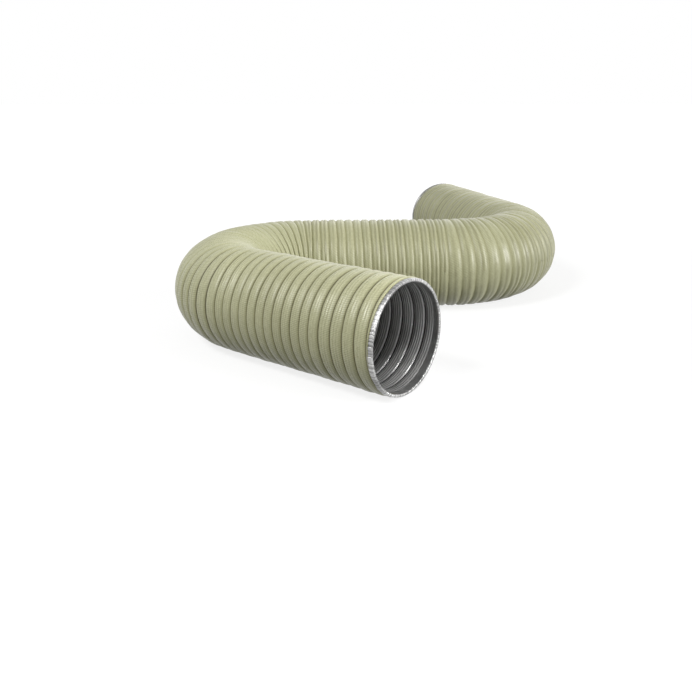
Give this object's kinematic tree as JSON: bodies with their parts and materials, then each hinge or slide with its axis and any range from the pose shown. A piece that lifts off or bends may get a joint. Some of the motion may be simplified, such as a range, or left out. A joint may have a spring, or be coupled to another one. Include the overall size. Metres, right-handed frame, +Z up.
{
  "type": "flexible air duct",
  "caption": "Semi-rigid flexible air duct with coated ribbed turns, a bare metal liner and folded rims, lying in a flat S with two bends.",
  "frame": {"origin": "middle of the footprint, on the floor", "axes": "+Z up from the floor, +X along the straight middle leg from bend 1 to bend 2, +Y from the near mouth side to the far mouth side"},
  "size_m": [0.4768, 0.7118, 0.1083],
  "materials": {
    "coated_strip": "satin khaki coating on thin metal strip",
    "bare_aluminium": "mill finish"
  },
  "bodies": {
    "near_1": {"near_rim": "bare_aluminium", "near_outer_1": "coated_strip", "near_liner_1": "bare_aluminium"},
    "near_2": {"near_outer_2": "coated_strip", "near_liner_2": "bare_aluminium"},
    "near_3": {"near_outer_3": "coated_strip", "near_liner_3": "bare_aluminium"},
    "bend1_01": {"bend1_outer_01": "coated_strip", "bend1_liner_01": "bare_aluminium"},
    "bend1_02": {"bend1_outer_02": "coated_strip", "bend1_liner_02": "bare_aluminium"},
    "bend1_03": {"bend1_outer_03": "coated_strip", "bend1_liner_03": "bare_aluminium"},
    "bend1_04": {"bend1_outer_04": "coated_strip", "bend1_liner_04": "bare_aluminium"},
    "bend1_05": {"bend1_outer_05": "coated_strip", "bend1_liner_05": "bare_aluminium"},
    "bend1_06": {"bend1_outer_06": "coated_strip", "bend1_liner_06": "bare_aluminium"},
    "bend1_07": {"bend1_outer_07": "coated_strip", "bend1_liner_07": "bare_aluminium"},
    "bend1_08": {"bend1_outer_08": "coated_strip", "bend1_liner_08": "bare_aluminium"},
    "bend1_09": {"bend1_outer_09": "coated_strip", "bend1_liner_09": "bare_aluminium"},
    "bend1_10": {"bend1_outer_10": "coated_strip", "bend1_liner_10": "bare_aluminium"},
    "bend1_11": {"bend1_outer_11": "coated_strip", "bend1_liner_11": "bare_aluminium"},
    "mid": {"mid_outer": "coated_strip", "mid_liner": "bare_aluminium"},
    "bend2_01": {"bend2_outer_01": "coated_strip", "bend2_liner_01": "bare_aluminium"},
    "bend2_02": {"bend2_outer_02": "coated_strip", "bend2_liner_02": "bare_aluminium"},
    "bend2_03": {"bend2_outer_03": "coated_strip", "bend2_liner_03": "bare_aluminium"},
    "bend2_04": {"bend2_outer_04": "coated_strip", "bend2_liner_04": "bare_aluminium"},
    "bend2_05": {"bend2_outer_05": "coated_strip", "bend2_liner_05": "bare_aluminium"},
    "bend2_06": {"bend2_outer_06": "coated_strip", "bend2_liner_06": "bare_aluminium"},
    "bend2_07": {"bend2_outer_07": "coated_strip", "bend2_liner_07": "bare_aluminium"},
    "bend2_08": {"bend2_outer_08": "coated_strip", "bend2_liner_08": "bare_aluminium"},
    "bend2_09": {"bend2_outer_09": "coated_strip", "bend2_liner_09": "bare_aluminium"},
    "far_1": {"far_outer_1": "coated_strip", "far_liner_1": "bare_aluminium"},
    "far_2": {"far_outer_2": "coated_strip", "far_liner_2": "bare_aluminium"},
    "far_3": {"far_outer_3": "coated_strip", "far_liner_3": "bare_aluminium", "far_rim": "bare_aluminium"}
  },
  "joints": [
    {"name": "bend_1_seam_11", "type": "hinge", "parent": "mid", "child": "bend1_11", "pos_m": [-0.088, -0.01866, 0.0539], "axis": [0, 0, -1], "range_deg": [-0.8, 3.36]},
    {"name": "bend_1", "type": "hinge", "parent": "bend1_11", "child": "bend1_10", "pos_m": [-0.10915, -0.02102, 0.0539], "axis": [0, 0, -1], "range_deg": [-1, 4.2]},
    {"name": "bend_1_seam_09", "type": "hinge", "parent": "bend1_10", "child": "bend1_09", "pos_m": [-0.12926, -0.02798, 0.0539], "axis": [0, 0, -1], "range_deg": [-1, 4.2]},
    {"name": "bend_1_seam_08", "type": "hinge", "parent": "bend1_09", "child": "bend1_08", "pos_m": [-0.14734, -0.0392, 0.0539], "axis": [0, 0, -1], "range_deg": [-1, 4.2]},
    {"name": "bend_1_seam_07", "type": "hinge", "parent": "bend1_08", "child": "bend1_07", "pos_m": [-0.16251, -0.05413, 0.0539], "axis": [0, 0, -1], "range_deg": [-1, 4.2]},
    {"name": "bend_1_seam_06", "type": "hinge", "parent": "bend1_07", "child": "bend1_06", "pos_m": [-0.17402, -0.07203, 0.0539], "axis": [0, 0, -1], "range_deg": [-1, 4.2]},
    {"name": "bend_1_seam_05", "type": "hinge", "parent": "bend1_06", "child": "bend1_05", "pos_m": [-0.18129, -0.09203, 0.0539], "axis": [0, 0, -1], "range_deg": [-1, 4.2]},
    {"name": "bend_1_seam_04", "type": "hinge", "parent": "bend1_05", "child": "bend1_04", "pos_m": [-0.18399, -0.11314, 0.0539], "axis": [0, 0, -1], "range_deg": [-1, 4.2]},
    {"name": "bend_1_seam_03", "type": "hinge", "parent": "bend1_04", "child": "bend1_03", "pos_m": [-0.18196, -0.13432, 0.0539], "axis": [0, 0, -1], "range_deg": [-1, 4.2]},
    {"name": "bend_1_seam_02", "type": "hinge", "parent": "bend1_03", "child": "bend1_02", "pos_m": [-0.17533, -0.15454, 0.0539], "axis": [0, 0, -1], "range_deg": [-1, 4.2]},
    {"name": "bend_1_seam_01", "type": "hinge", "parent": "bend1_02", "child": "bend1_01", "pos_m": [-0.16439, -0.1728, 0.0539], "axis": [0, 0, -1], "range_deg": [-1, 4.2]},
    {"name": "bend_1_seam_00", "type": "hinge", "parent": "bend1_01", "child": "near_3", "pos_m": [-0.14971, -0.1882, 0.0539], "axis": [0, 0, -1], "range_deg": [-0.8, 3.36]},
    {"name": "bend_2_seam_00", "type": "hinge", "parent": "mid", "child": "bend2_01", "pos_m": [0.072, -0.01866, 0.0539], "axis": [0, 0, -1], "range_deg": [-0.96, 3.2]},
    {"name": "bend_2", "type": "hinge", "parent": "bend2_01", "child": "bend2_02", "pos_m": [0.09486, -0.0163, 0.0539], "axis": [0, 0, -1], "range_deg": [-1.2, 4]},
    {"name": "bend_2_seam_02", "type": "hinge", "parent": "bend2_02", "child": "bend2_03", "pos_m": [0.11676, -0.00933, 0.0539], "axis": [0, 0, -1], "range_deg": [-1.2, 4]},
    {"name": "bend_2_seam_03", "type": "hinge", "parent": "bend2_03", "child": "bend2_04", "pos_m": [0.13677, 0.00197, 0.0539], "axis": [0, 0, -1], "range_deg": [-1.2, 4]},
    {"name": "bend_2_seam_04", "type": "hinge", "parent": "bend2_04", "child": "bend2_05", "pos_m": [0.15406, 0.01711, 0.0539], "axis": [0, 0, -1], "range_deg": [-1.2, 4]},
    {"name": "bend_2_seam_05", "type": "hinge", "parent": "bend2_05", "child": "bend2_06", "pos_m": [0.16789, 0.03547, 0.0539], "axis": [0, 0, -1], "range_deg": [-1.2, 4]},
    {"name": "bend_2_seam_06", "type": "hinge", "parent": "bend2_06", "child": "bend2_07", "pos_m": [0.17768, 0.05626, 0.0539], "axis": [0, 0, -1], "range_deg": [-1.2, 4]},
    {"name": "bend_2_seam_07", "type": "hinge", "parent": "bend2_07", "child": "bend2_08", "pos_m": [0.18303, 0.07861, 0.0539], "axis": [0, 0, -1], "range_deg": [-1.2, 4]},
    {"name": "bend_2_seam_08", "type": "hinge", "parent": "bend2_08", "child": "bend2_09", "pos_m": [0.1837, 0.10158, 0.0539], "axis": [0, 0, -1], "range_deg": [-1.2, 4]},
    {"name": "bend_2_seam_09", "type": "hinge", "parent": "bend2_09", "child": "far_1", "pos_m": [0.17966, 0.12421, 0.0539], "axis": [0, 0, -1], "range_deg": [-0.96, 3.2]},
    {"name": "near_stretch", "type": "slide", "parent": "near_3", "child": "near_2", "axis": [0.766, -0.6428, 0], "range_m": [-0.0026, 0.005]},
    {"name": "near_stretch_end", "type": "slide", "parent": "near_2", "child": "near_1", "axis": [0.766, -0.6428, 0], "range_m": [-0.0026, 0.005]},
    {"name": "far_stretch", "type": "slide", "parent": "far_1", "child": "far_2", "axis": [-0.2756, 0.9613, 0], "range_m": [-0.0026, 0.005]},
    {"name": "far_stretch_end", "type": "slide", "parent": "far_2", "child": "far_3", "axis": [-0.2756, 0.9613, 0], "range_m": [-0.0026, 0.005]}
  ],
  "couplings": [
    {"joint": "bend_1_seam_11", "follows": "bend_1", "ratio": 0.8},
    {"joint": "bend_1_seam_09", "follows": "bend_1", "ratio": 1},
    {"joint": "bend_1_seam_08", "follows": "bend_1", "ratio": 1},
    {"joint": "bend_1_seam_07", "follows": "bend_1", "ratio": 1},
    {"joint": "bend_1_seam_06", "follows": "bend_1", "ratio": 1},
    {"joint": "bend_1_seam_05", "follows": "bend_1", "ratio": 1},
    {"joint": "bend_1_seam_04", "follows": "bend_1", "ratio": 1},
    {"joint": "bend_1_seam_03", "follows": "bend_1", "ratio": 1},
    {"joint": "bend_1_seam_02", "follows": "bend_1", "ratio": 1},
    {"joint": "bend_1_seam_01", "follows": "bend_1", "ratio": 1},
    {"joint": "bend_1_seam_00", "follows": "bend_1", "ratio": 0.8},
    {"joint": "bend_2_seam_00", "follows": "bend_2", "ratio": 0.8},
    {"joint": "bend_2_seam_02", "follows": "bend_2", "ratio": 1},
    {"joint": "bend_2_seam_03", "follows": "bend_2", "ratio": 1},
    {"joint": "bend_2_seam_04", "follows": "bend_2", "ratio": 1},
    {"joint": "bend_2_seam_05", "follows": "bend_2", "ratio": 1},
    {"joint": "bend_2_seam_06", "follows": "bend_2", "ratio": 1},
    {"joint": "bend_2_seam_07", "follows": "bend_2", "ratio": 1},
    {"joint": "bend_2_seam_08", "follows": "bend_2", "ratio": 1},
    {"joint": "bend_2_seam_09", "follows": "bend_2", "ratio": 0.8},
    {"joint": "near_stretch_end", "follows": "near_stretch", "ratio": 1},
    {"joint": "far_stretch_end", "follows": "far_stretch", "ratio": 1}
  ]
}
